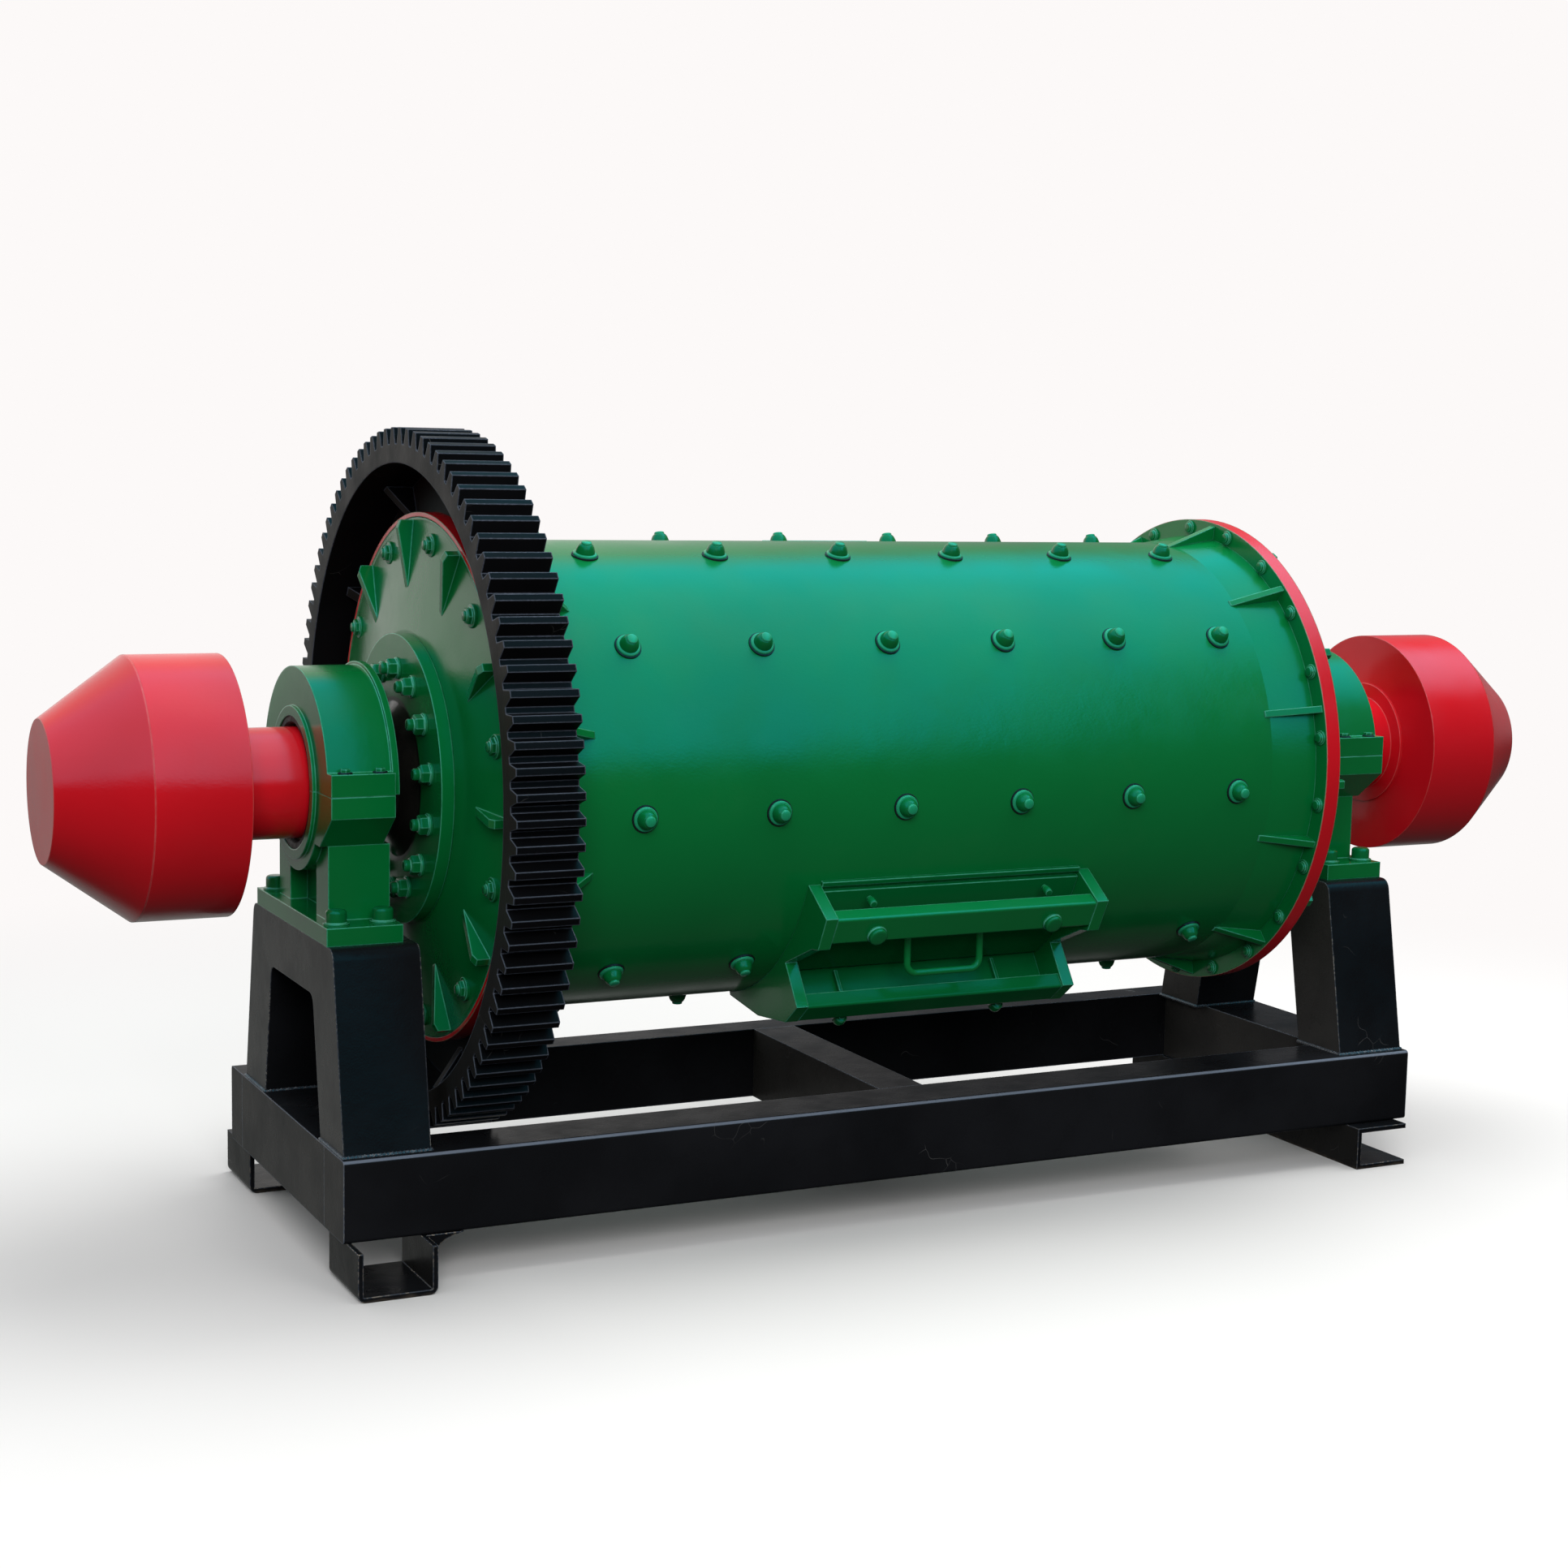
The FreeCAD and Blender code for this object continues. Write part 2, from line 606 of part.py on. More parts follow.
def polar(radius, angle):
    """The (y, z) of a point at a radius and an angle round the drum, from the drum's axis."""
    angle = as_size(angle)
    return (cosine(angle) * radius * -1, sine(angle) * radius)


def make_manhole_frame():
    """Two shaped end plates standing on the shell, and an upper and a lower wall."""
    foot = s.shell_radius - PASS
    upper_foot, lower_foot = (polar(foot, angle) for angle in END_PLATE_FEET)
    outline = [upper_foot, *(polar(*corner) for corner in END_PLATE_OUTLINE), lower_foot]
    length, inside = s.manhole_half_length, s.manhole_half_length - s.end_plate_thick
    drum = (s.shell_radius, length * -1 - PASS, length + PASS)
    for side in (LEFT, RIGHT):
        name = side_name(side)
        plate = new_body(f"end_plate_{name}", s.axis_height)
        extrude_along_x(plate, outline, *ends(side, inside, length))
        keep(cut(plate, rod_along_x(*drum)), f"manhole_plate_{name}")
    half = s.cover_thick * 0.5
    for name, angle, outer in (("upper", s.upper_wall_angle, s.shell_radius + s.upper_wall_height),
                               ("lower", s.lower_wall_angle, s.lower_clamp_radius - s.lower_wall_gap)):
        wall = new_body(f"wall_{name}", s.axis_height, turn_about_axis(angle.value))
        extrude_along_x(wall, [(half * -1, foot), (half, foot), (half, outer),
                               (half * -1, outer)], inside * -1, inside)
        keep(cut(wall, rod_along_x(*drum)), f"manhole_wall_{name}")


def make_manhole_cover():
    """A curved lid on the opening, from end plate to end plate."""
    half = s.cover_half_angle
    body = new_body("manhole_cover", s.axis_height, turn_about_axis((s.hole_angle + half).value))
    length = s.manhole_half_length - s.end_plate_thick - 1
    top = s.shell_radius + s.cover_thick
    turn_profile(body, [(length * -1, s.shell_radius), (length * -1, top), (length, top),
                        (length, s.shell_radius)], half * 2)
    keep(body, "manhole_cover")


def make_clamp(label, angle, radius):
    """A square bar from end plate to end plate, its flat face turned outwards."""
    body = new_body(label, s.axis_height, turn_about_axis(angle.value))
    half = s.clamp_height * 0.5
    reach = s.manhole_half_length - s.end_plate_thick
    extrude_along_x(body, [(half * -1, radius - s.clamp_depth), (half, radius - s.clamp_depth),
                           (half, radius), (half * -1, radius)], reach * -1, reach)
    round_edges(body, s.clamp_round, edge_along_x(half, radius))
    keep(body, label)


def make_handle():
    """A rod bent into a U that hangs straight down from the lid."""
    rod, half, drop = s.handle_rod.value, s.handle_half_width.value, s.handle_drop.value
    bend = rod * 3
    corners = [V(-half, 0, 0), V(-half, 0, -drop), V(half, 0, -drop), V(half, 0, 0)]
    edges = []
    start = corners[0]
    for before, corner, after in zip(corners, corners[1:], corners[2:]):
        into = (corner - before).normalize()
        out = (after - corner).normalize()
        entry, leave = corner - into * bend, corner + out * bend
        middle = corner + (out - into) * bend - (out - into).normalize() * bend
        edges.append(Part.LineSegment(start, entry).toShape())
        edges.append(Part.Arc(entry, middle, leave).toShape())
        start = leave
    edges.append(Part.LineSegment(start, corners[-1]).toShape())
    path = Part.Wire(edges)
    ring = Part.Wire(Part.makeCircle(rod, corners[0], V(0, 0, 1)))
    handle = doc.addObject("Part::Feature", "manhole_handle")
    handle.Shape = path.makePipeShell([ring], True, False)
    y, z = polar(s.shell_radius + s.cover_thick * 0.5, s.handle_angle)
    bind(handle, "Placement.Base.y", y)
    bind(handle, "Placement.Base.z", s.axis_height + z)
    keep(handle, "manhole_handle")


def make_rear_plate():
    """A low cover plate with sloping ends, bolted over the rear port."""
    middle = s.rear_plate_angle + s.rear_plate_span * 0.5
    body = new_body("rear_cover_plate", s.axis_height, turn_about_axis(middle.value))
    turn_profile(body, [(s.rear_plate_foot_half * -1, s.shell_radius),
                        (s.rear_plate_top_half * -1, s.rear_plate_radius),
                        (s.rear_plate_top_half, s.rear_plate_radius),
                        (s.rear_plate_foot_half, s.shell_radius)], s.rear_plate_span)
    keep(body, "rear_cover_plate")


# ---------------------------------------------------------------- the whole mill

def write_pieces():
    """Checks every object and every piece, then writes one file for each piece."""
    doc.recompute()
    for item in doc.Objects:
        if {"Invalid", "Error"} & set(item.State):
            raise RuntimeError(f"{item.Label} did not compute: {item.State}")
    os.makedirs("parts", exist_ok=True)
    for piece in pieces:
        shape = piece.Shape
        if shape.isNull() or not shape.isValid() or shape.Volume <= 0:
            raise RuntimeError(f"{piece.Label} has no valid shape")
        shape.exportStep(f"parts/{piece.Label}.step")
        print(f"{piece.Label:24s} {len(shape.Solids):3d} solids {shape.Volume / 1e6:9.2f} l")


make_base_frame()
make_right_foot()
for front in (True, False):
    make_left_foot(front)
make_shell()
for side in (LEFT, RIGHT):
    make_pedestal(side)
    make_bearing(side)
    make_shell_flange(side)
    make_head(side)
    make_trunnion(side)
    make_feeder(side)
make_shell_gussets()
make_gear()
make_gear_web()
make_manhole_frame()
make_manhole_cover()
make_clamp("manhole_clamp_upper", s.upper_clamp_angle, s.upper_clamp_radius)
make_clamp("manhole_clamp_lower", s.lower_clamp_angle, s.lower_clamp_radius)
make_handle()
make_rear_plate()
write_pieces()
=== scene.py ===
import json
import math

import bpy
import numpy as np
from mathutils import Matrix, Vector


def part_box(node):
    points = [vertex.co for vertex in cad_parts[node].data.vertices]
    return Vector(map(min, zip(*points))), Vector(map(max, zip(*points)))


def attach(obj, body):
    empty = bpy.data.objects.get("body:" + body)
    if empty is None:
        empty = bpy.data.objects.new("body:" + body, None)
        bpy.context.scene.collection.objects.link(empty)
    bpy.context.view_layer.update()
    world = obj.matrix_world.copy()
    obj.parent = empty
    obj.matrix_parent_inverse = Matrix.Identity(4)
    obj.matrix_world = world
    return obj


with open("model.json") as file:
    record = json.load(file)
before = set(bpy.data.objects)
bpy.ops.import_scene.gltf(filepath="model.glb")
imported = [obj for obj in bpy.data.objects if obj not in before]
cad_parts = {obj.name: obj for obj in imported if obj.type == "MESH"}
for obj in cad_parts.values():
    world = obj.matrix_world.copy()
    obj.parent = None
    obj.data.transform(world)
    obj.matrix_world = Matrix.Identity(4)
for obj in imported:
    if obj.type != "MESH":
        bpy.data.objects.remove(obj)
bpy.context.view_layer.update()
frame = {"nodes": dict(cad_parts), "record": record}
scene = bpy.context.scene

# A batch ball mill. X runs along the drum, -Y is the manhole side, +Z is up, all in metres.
# An angle round the drum is 0 towards -Y and 90 straight up.


# ---------------------------------------------------------------- camera

CAMERA_PLACE = (-2.5144, -4.7498, 1.5151)
YAW, PITCH, ROLL = (math.radians(a) for a in (26.34, -7.18, 1.15))
LENS = 59.1


def camera_axes(yaw, pitch, roll):
    """Right, up and forward of a camera that looks along +Y, turned to yaw, pitch and roll."""
    forward = np.array([math.sin(yaw) * math.cos(pitch), math.cos(yaw) * math.cos(pitch),
                        math.sin(pitch)])
    level = np.array([math.cos(yaw), -math.sin(yaw), 0.0])
    above = np.cross(level, forward)
    right = level * math.cos(roll) + above * math.sin(roll)
    up = above * math.cos(roll) - level * math.sin(roll)
    return right, up, forward


right, up, forward = camera_axes(YAW, PITCH, ROLL)
camera = bpy.data.objects.new("camera", bpy.data.cameras.new("camera"))
camera.data.lens = LENS
camera.data.clip_end = 200
turned = Matrix(np.column_stack([right, up, -forward]).tolist()).to_4x4()
camera.matrix_world = Matrix.Translation(CAMERA_PLACE) @ turned
scene.collection.objects.link(camera)
scene.camera = camera
scene.view_settings.view_transform = "Standard"


# ---------------------------------------------------------------- sizes read from the frame

AXIS = frame["record"]["behaviour"]["joints"][0]["pos_m"][2]
LEFT, RIGHT = -1, 1
SIDES = {LEFT: "left", RIGHT: "right"}
FLARE = 0.016  # how far the shell's right end flares outwards
PLATE_THICK = 0.034  # of the plate under each bearing base
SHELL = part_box("shell")[1][1] - FLARE
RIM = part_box("shell_flange_left")[1][1]
TOP_OF_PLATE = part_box("bearing_base_left")[0][2] + PLATE_THICK


def outer_x(node, side):
    """How far a node reaches from the middle of the mill, on one side."""
    return max(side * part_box(node)[0][0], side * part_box(node)[1][0])


def inner_x(node, side):
    """Where a node starts, measured from the middle of the mill, on one side."""
    return min(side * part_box(node)[0][0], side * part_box(node)[1][0])


RIM_END = {side: outer_x(f"shell_flange_{name}", side) for side, name in SIDES.items()}


# ---------------------------------------------------------------- shapes from arrays

def turned_rings(profile, sides, phase=0.0):
    """Points of a turned solid: every (height, radius) corner of the profile is carried round
    local Z in equal steps, (radius cos a, radius sin a, height). Shape (rings, sides, 3)."""
    height, radius = np.array(profile, float).T[:, :, None]
    angle = phase + np.arange(sides) * 2 * math.pi / sides
    return np.stack(np.broadcast_arrays(radius * np.cos(angle), radius * np.sin(angle), height), -1)


def place_copies(shape, origins, frames):
    """One copy of a local shape per place: origin + x * X axis + y * Y axis + z * Z axis."""
    return origins[:, None, None] + np.einsum("rsk,nkd->nrsd", shape, frames)


def drum_places(xs, angles, radius):
    """Places that stand on a cylinder round the drum's axis: local Z is the outward normal
    (0, -cos a, sin a), local X runs along the drum, and every x meets every angle."""
    x, angle = (g.ravel() for g in np.meshgrid(xs, np.radians(angles), indexing="ij"))
    outward = np.stack([x * 0, -np.cos(angle), np.sin(angle)], -1)
    along = np.broadcast_to([1.0, 0.0, 0.0], outward.shape)
    frames = np.stack([along, np.cross(outward, along), outward], 1)
    return outward * radius + np.stack([x, x * 0, x * 0 + AXIS], -1), frames


def face_places(x, facing, radius, angles):
    """Places in a ring on a disc across the drum: local Z is the disc's normal, which is X or
    its reverse, and local X points outwards from the drum's axis."""
    angle = np.radians(angles)
    outward = np.stack([angle * 0, -np.cos(angle), np.sin(angle)], -1)
    normal = np.broadcast_to([float(facing), 0.0, 0.0], outward.shape)
    frames = np.stack([outward, np.cross(normal, outward), normal], 1)
    return outward * radius + np.array([x, 0.0, AXIS]), frames


def upright_places(points):
    """Places that stand upright at given points, local axes along the mill's own."""
    origins = np.array(points, float)
    return origins, np.broadcast_to(np.eye(3), (len(origins), 3, 3))


def join_places(*groups):
    """Several sets of places as one."""
    return tuple(np.concatenate(part) for part in zip(*groups))


def lattice_faces(rings, sides, loop):
    """Quads between neighbouring rings of points; loop also joins the last ring to the first."""
    ring = np.arange(rings if loop else rings - 1)[:, None]
    side = np.arange(sides)[None]
    after, following = (ring + 1) % rings, (side + 1) % sides
    return np.stack([ring * sides + side, ring * sides + following,
                     after * sides + following, after * sides + side], -1).reshape(-1, 4)


def make_piece(name, groups, material, body, crease=35):
    """A mesh from groups of copies, each (copies, rings, sides, 3) with loop true or false.
    A group that isn't a loop is closed by a flat face at its first and its last ring."""
    points, faces, start = [], [], 0
    for group, loop in groups:
        copies, rings, sides = group.shape[:3]
        quads = lattice_faces(rings, sides, loop)
        for offset in start + np.arange(copies) * rings * sides:
            faces += (quads + offset).tolist()
            if not loop:
                faces.append((offset + np.arange(sides))[::-1].tolist())
                faces.append((offset + (rings - 1) * sides + np.arange(sides)).tolist())
        points.append(group.reshape(-1, 3))
        start += copies * rings * sides
    mesh = bpy.data.meshes.new(name)
    mesh.from_pydata(np.concatenate(points).tolist(), [], faces)
    mesh.shade_smooth()
    mesh.set_sharp_from_angle(angle=math.radians(crease))
    mesh.materials.append(material)
    piece = bpy.data.objects.new(name, mesh)
    scene.collection.objects.link(piece)
    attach(piece, body)


def eased(profile, radius=0.0012, steps=3):
    """The same profile with every corner between the first and the last rounded: first and
    last lie a small reach before and after the corner, and the run between them is
    (1 - t)^2 first + 2 t (1 - t) corner + t^2 last."""
    corners = np.array(profile, float)
    out = [corners[0]]
    for before, corner, after in zip(corners, corners[1:], corners[2:]):
        to_before, to_after = before - corner, after - corner
        reach = min(radius, np.hypot(*to_before) * 0.45, np.hypot(*to_after) * 0.45)
        first = corner + to_before / np.hypot(*to_before) * reach
        last = corner + to_after / np.hypot(*to_after) * reach
        share = np.linspace(0, 1, steps)[:, None]
        out += list((1 - share) ** 2 * first + 2 * share * (1 - share) * corner
                    + share ** 2 * last)
    out.append(corners[-1])
    return np.array(out)


def turned(profile, places, sides=24, phase=0.0, radius=0.0012):
    """A group of copies of one turned solid with eased corners, one for each place."""
    return place_copies(turned_rings(eased(profile, radius), sides, phase), *places), False


# ---------------------------------------------------------------- finishes

EDGE_ROUND, PAINT_EDGE_ROUND = 0.0036, 0.0038  # radius of the rounding under enamel, black
RIM_WIDTH, RIM_FADE = 0.0100, 0.0005  # the red ring on the flange's end face


class Paint:
    """A material being put together. Colours are linear, lengths metres, and every pattern
    reads the piece's own coordinates."""

    def __init__(self, name):
        self.material = bpy.data.materials.new(name)
        self.material.use_nodes = True
        self.tree = self.material.node_tree
        self.shader = self.tree.nodes["Principled BSDF"]
        self.place = self.add("TexCoord").outputs["Object"]

    def add(self, kind, inputs=None, **settings):
        made = self.tree.nodes.new("ShaderNode" + kind)
        for key, value in settings.items():
            setattr(made, key, value)
        for key, value in (inputs or {}).items():
            self.feed(made.inputs[key], value)
        return made

    def feed(self, socket, value):
        if isinstance(value, bpy.types.NodeSocket):
            self.tree.links.new(value, socket)
        else:
            socket.default_value = value

    def stretched(self, scale):
        return self.add("Mapping", {"Vector": self.place, "Scale": scale}).outputs[0]

    def noise(self, scale, detail=2.0, rough=0.5, vector=None):
        return self.add("TexNoise", {"Vector": vector or self.place, "Scale": scale,
                                     "Detail": detail, "Roughness": rough}).outputs["Fac"]

    def maths(self, kind, first, second=0.0):
        return self.add("Math", {0: first, 1: second}, operation=kind).outputs[0]

    def step(self, value, low, high, bottom=0.0, top=1.0):
        """Goes smoothly from bottom to top while value goes from low to high."""
        return self.add("MapRange", {0: value, 1: low, 2: high, 3: bottom, 4: top},
                        interpolation_type="SMOOTHSTEP").outputs[0]

    def blend(self, share, first, second):
        made = self.add("Mix", data_type="RGBA")
        self.feed(made.inputs[0], share)
        for socket, value in ((made.inputs[6], first), (made.inputs[7], second)):
            self.feed(socket, value if isinstance(value, bpy.types.NodeSocket) else (*value, 1.0))
        return made.outputs[2]

    def part(self, vector, axis):
        return self.add("SeparateXYZ", {0: vector}).outputs[axis]

    def radius_round_drum(self):
        y = self.part(self.place, 1)
        z = self.maths("SUBTRACT", self.part(self.place, 2), AXIS)
        squares = self.maths("ADD", self.maths("MULTIPLY", y, y), self.maths("MULTIPLY", z, z))
        return self.maths("SQRT", squares)

    def ends_facing(self):
        """1 on faces that look along the drum, either way."""
        across = self.part(self.add("TexCoord").outputs["Normal"], 0)
        return self.step(self.maths("ABSOLUTE", across), 0.6, 0.8)

    def rounded_corners(self):
        """1 where a face turns over a beam's rounded upper edge."""
        normal = self.add("TexCoord").outputs["Normal"]
        outward = self.step(self.maths("ABSOLUTE", self.part(normal, 1)), 0.25, 0.5)
        return self.maths("MULTIPLY", outward, self.step(self.part(normal, 2), 0.25, 0.5))

    def edges(self, radius, soft=0.10):
        """1 on the piece's sharp edges, from how far a rounded normal leans from the flat one,
        and that rounded normal."""
        rounded = self.add("Bevel", {"Radius": radius}, samples=6).outputs[0]
        flat = self.add("NewGeometry").outputs["Normal"]
        lean = self.add("VectorMath", {0: rounded, 1: flat}, operation="DOT_PRODUCT")
        return self.step(lean.outputs["Value"], 1.0, 1.0 - soft), rounded

    def bump(self, height, distance, strength=1.0, normal=None):
        inputs = {"Height": height, "Distance": distance, "Strength": strength}
        if normal is not None:
            inputs["Normal"] = normal
        return self.add("Bump", inputs).outputs[0]

    def finish(self, colour, rough, normal=None, **constants):
        self.feed(self.shader.inputs["Base Color"],
                  colour if isinstance(colour, bpy.types.NodeSocket) else (*colour, 1.0))
        self.feed(self.shader.inputs["Roughness"], rough)
        if normal is not None:
            self.feed(self.shader.inputs["Normal"], normal)
        for key, value in constants.items():
            self.shader.inputs[key.replace("_", " ")].default_value = value
        return self.material


def enamel(name, colour, deep, edge_highlight, gloss=0.16, peel=0.6, wear_and_sheen=0.95, rim=None, shaft=None,
           specular=0.5):
    """Brushed-on machine enamel: slow shifts of colour, a fine orange peel that stretches a
    little along the drum, and a painted highlight, a paler line along the sharp edges. A rim
    gives the colour of the flange's outer ring; a shaft gives the radius inside which dark
    oily steel takes the paint's place, which also paints the shade in the gap between the
    bearing and the trunnion flange."""
    p = Paint(name)
    shift = p.step(p.noise(1.7, 3.0), 0.35, 0.7)
    base = p.blend(shift, colour, deep)
    if rim:
        x = p.part(p.place, 0)
        round_face = p.step(p.radius_round_drum(), RIM - 0.0012, RIM - 0.0006)
        lip = p.step(p.radius_round_drum(), RIM - RIM_WIDTH, RIM - RIM_WIDTH + RIM_FADE)
        at_left = p.step(x, -RIM_END[LEFT] + 2 * RIM_FADE, -RIM_END[LEFT] + RIM_FADE)
        at_right = p.step(x, RIM_END[RIGHT] - 2 * RIM_FADE, RIM_END[RIGHT] - RIM_FADE)
        end_face = p.maths("MULTIPLY", lip, p.maths("ADD", at_left, at_right))
        base = p.blend(p.maths("MAXIMUM", round_face, end_face), base, p.blend(shift, *rim))
    # Painted highlight: a paler line of colour along the sharp edges, broken up by noise, stands in
    # for light catching the edges.
    edge, rounded = p.edges(EDGE_ROUND)
    patchy = p.step(p.noise(35, 3.0), 0.35, 0.55, 0.6, 1.0)
    base = p.blend(p.maths("MULTIPLY", p.maths("MULTIPLY", edge, patchy), wear_and_sheen), base, edge_highlight)
    dust = p.step(p.noise(5.5, 6.0, 0.7), 0.5, 0.85, 0.0, 0.008)
    base = p.blend(dust, base, (0.42, 0.40, 0.34))
    rough = p.step(p.noise(9, 4.0), 0.3, 0.75, gloss, gloss + 0.10)
    # Painted shade: inside the shaft radius the enamel gives way to dark oily steel, which also
    # paints the shade in the gap between the bearing and the trunnion flange.
    if shaft:
        oily = p.step(p.radius_round_drum(), shaft + 0.0015, shaft + 0.0005)
        steel = p.blend(p.noise(60, 4.0, 0.7), (0.004, 0.004, 0.004), (0.016, 0.015, 0.013))
        base = p.blend(oily, base, steel)
    fine = p.noise(210, 1.0, vector=p.stretched((0.6, 1.0, 1.0)))
    slow = p.noise(26, 1.0)
    normal = p.bump(fine, 0.0004 * peel, 0.5, p.bump(slow, 0.0012 * peel, 0.35, rounded))
    return p.finish(base, rough, normal, Specular_IOR_Level=specular)


def black_paint(name, colour=(0.0060, 0.0064, 0.0076), gloss=0.24, wear_and_sheen=(0.36, 0.35, 0.32),
                wear=0.6, end_face_reflection=(0.058, 0.055, 0.052), line=0.35, rolled=False, bare=None,
                specular=0.5):
    """Semi-gloss black: orange peel, hairline scratches, a painted highlight in a thin bluish
    line along the edges with chipped dots along it, a painted brownish-grey reflection of the
    bright floor on the faces that look along the drum, and bare brown steel up to a height
    where feet and floor rub it off."""
    p = Paint(name)
    base = p.blend(p.step(p.noise(3.0, 4.0), 0.35, 0.7), colour, tuple(c * 1.7 for c in colour))
    # Painted reflection: faces that look along the drum are lightened in patches towards a brownish
    # grey, standing in for the bright floor mirrored in them.
    film = p.step(p.noise(5.0, 5.0, 0.6), 0.2, 0.8, 0.55, 1.0)
    base = p.blend(p.maths("MULTIPLY", p.ends_facing(), film), base, end_face_reflection)
    edge, rounded = p.edges(PAINT_EDGE_ROUND)
    # Painted highlight: a bluish line along the sharp edges, and on beams along their rounded upper
    # edges too, stands in for the sky mirrored there.
    highlit_edge = p.maths("MAXIMUM", edge, p.rounded_corners()) if rolled else edge
    painted_edge_highlight = p.maths("MULTIPLY", highlit_edge, line)
    base = p.blend(painted_edge_highlight, base, (0.20, 0.24, 0.31))
    dots = p.step(p.noise(160, 2.0, 0.6), 0.50, 0.58)
    long_runs = p.step(p.noise(4.0, 2.0), 0.42, 0.60, 0.2, 1.0)
    # On most pieces these dots are real chipped paint; on the gear their bluish colour paints
    # glints of the sky on the tooth tips.
    dotted_edge = p.maths("MULTIPLY", edge, dots)
    chips_and_glints = p.maths("MULTIPLY", dotted_edge, p.maths("MULTIPLY", long_runs, wear))
    base = p.blend(chips_and_glints, base, wear_and_sheen)
    wander = p.add("TexNoise", {"Vector": p.place, "Scale": 9.0}).outputs["Color"]
    shift = p.add("VectorMath", {0: wander, 3: 0.12}, operation="SCALE").outputs[0]
    bent = p.add("VectorMath", {0: p.place, 1: shift}, operation="ADD").outputs[0]
    cells = p.add("TexVoronoi", {"Vector": bent, "Scale": 11.0},
                  feature="DISTANCE_TO_EDGE").outputs["Distance"]
    scratch = p.maths("MULTIPLY", p.step(cells, 0.006, 0.0015),
                    p.step(p.noise(7.0, 2.0, vector=p.stretched((1.0, 1.3, 0.8))), 0.62, 0.68))
    base = p.blend(p.maths("MULTIPLY", scratch, 0.30), base, (0.20, 0.20, 0.20))
    if bare:
        height = p.part(p.place, 2)
        ragged = p.maths("ADD", height, p.maths("MULTIPLY", p.noise(40, 4.0), 0.02))
        low = p.step(ragged, bare + 0.006, bare - 0.004)
        brown = p.blend(p.noise(90, 4.0, 0.7), (0.030, 0.024, 0.018), (0.085, 0.07, 0.055))
        base = p.blend(p.maths("MULTIPLY", low, 0.9), base, brown)
    rough = p.maths("ADD", p.step(p.noise(12, 4.0), 0.3, 0.75, gloss, gloss + 0.12),
                  p.maths("MULTIPLY", chips_and_glints, 0.3))
    slow = p.bump(p.noise(40, 1.0), 0.0010, 0.35, rounded)
    normal = p.bump(p.noise(300, 1.0), 0.0004, 0.5, slow)
    return p.finish(base, rough, normal, Specular_IOR_Level=specular)


def plain_rubber(name):
    """Dark joint sealant: nearly black with a dull, slightly grainy skin. It also serves as
    painted shade: dark rings under the liner washers and discs in the ear bolt wells.
    """
    p = Paint(name)
    base = p.blend(p.noise(60, 3.0), (0.004, 0.004, 0.0045), (0.012, 0.011, 0.011))
    return p.finish(base, p.step(p.noise(90, 2.0), 0.3, 0.7, 0.45, 0.65),
                    p.bump(p.noise(400, 2.0), 0.0003, 0.5))


def oiled_bronze(name):
    """Bronze with darker oily clouds and a fine grain."""
    p = Paint(name)
    base = p.blend(p.noise(30, 4.0), (0.30, 0.17, 0.06), (0.14, 0.075, 0.03))
    return p.finish(base, p.step(p.noise(50, 3.0), 0.3, 0.7, 0.22, 0.45),
                    p.bump(p.noise(250, 2.0), 0.0003, 0.5), Metallic=1.0)


GREEN, DEEP_GREEN = (0.0014, 0.190, 0.041), (0.0011, 0.155, 0.034)
RED, DEEP_RED = (0.76, 0.008, 0.018), (0.60, 0.006, 0.013)
# The colour of the painted edge highlight on the green enamel.
EDGE_HIGHLIGHT_GREEN = (0.09, 0.50, 0.32)
TRUNNION_SHAFT = 0.158
green = enamel("green_enamel", GREEN, DEEP_GREEN, EDGE_HIGHLIGHT_GREEN)
green_with_red_rim = enamel("green_enamel_red_rim", GREEN, DEEP_GREEN, (0.20, 0.42, 0.28),
                            rim=(RED, DEEP_RED))
# The trunnions' dark hub inside TRUNNION_SHAFT is oily steel and also painted shade, the shade in
# the gap at the bearing.
green_with_shaded_shaft = enamel("green_enamel_shaft", GREEN, DEEP_GREEN, EDGE_HIGHLIGHT_GREEN,
                          shaft=TRUNNION_SHAFT)
# Painted shade: a darker green for the manhole's cover, walls and lower clamp, which sit in the
# shade of the opening.
green_painted_shade_manhole = enamel("green_enamel_sheltered", (0.0014, 0.150, 0.036),
                              (0.0010, 0.120, 0.030), EDGE_HIGHLIGHT_GREEN, specular=0.15)
green_fittings = enamel("green_fittings", (0.0014, 0.165, 0.040), (0.0010, 0.130, 0.032),
                        (0.10, 0.52, 0.34))
# Painted highlight: a lighter green for the washers and stud tops, standing in for light on the
# washers' bevels and the sky mirrored on the stud tops.
washer_green = enamel("washer_green", (0.012, 0.33, 0.15), (0.008, 0.26, 0.12), (0.16, 0.6, 0.42))
red = enamel("red_enamel", RED, DEEP_RED, (0.85, 0.12, 0.12), gloss=0.14)
black = black_paint("black_enamel", specular=0.10, wear=1.0)
# The beams carry a stronger painted edge highlight, on their rounded upper edges as well.
beam_black = black_paint("black_enamel_beams", colour=(0.0080, 0.0084, 0.0098), line=0.8,
                         rolled=True, specular=0.03)
foot_black = black_paint("black_enamel_worn_low", bare=0.012, wear=1.0,
                         wear_and_sheen=(0.42, 0.37, 0.30), end_face_reflection=(0.014, 0.013, 0.012), specular=0.05)
weld_black = black_paint("black_enamel_welds", colour=(0.012, 0.013, 0.016),
                         wear_and_sheen=(0.30, 0.31, 0.34), end_face_reflection=(0.035, 0.036, 0.038), wear=1.0)
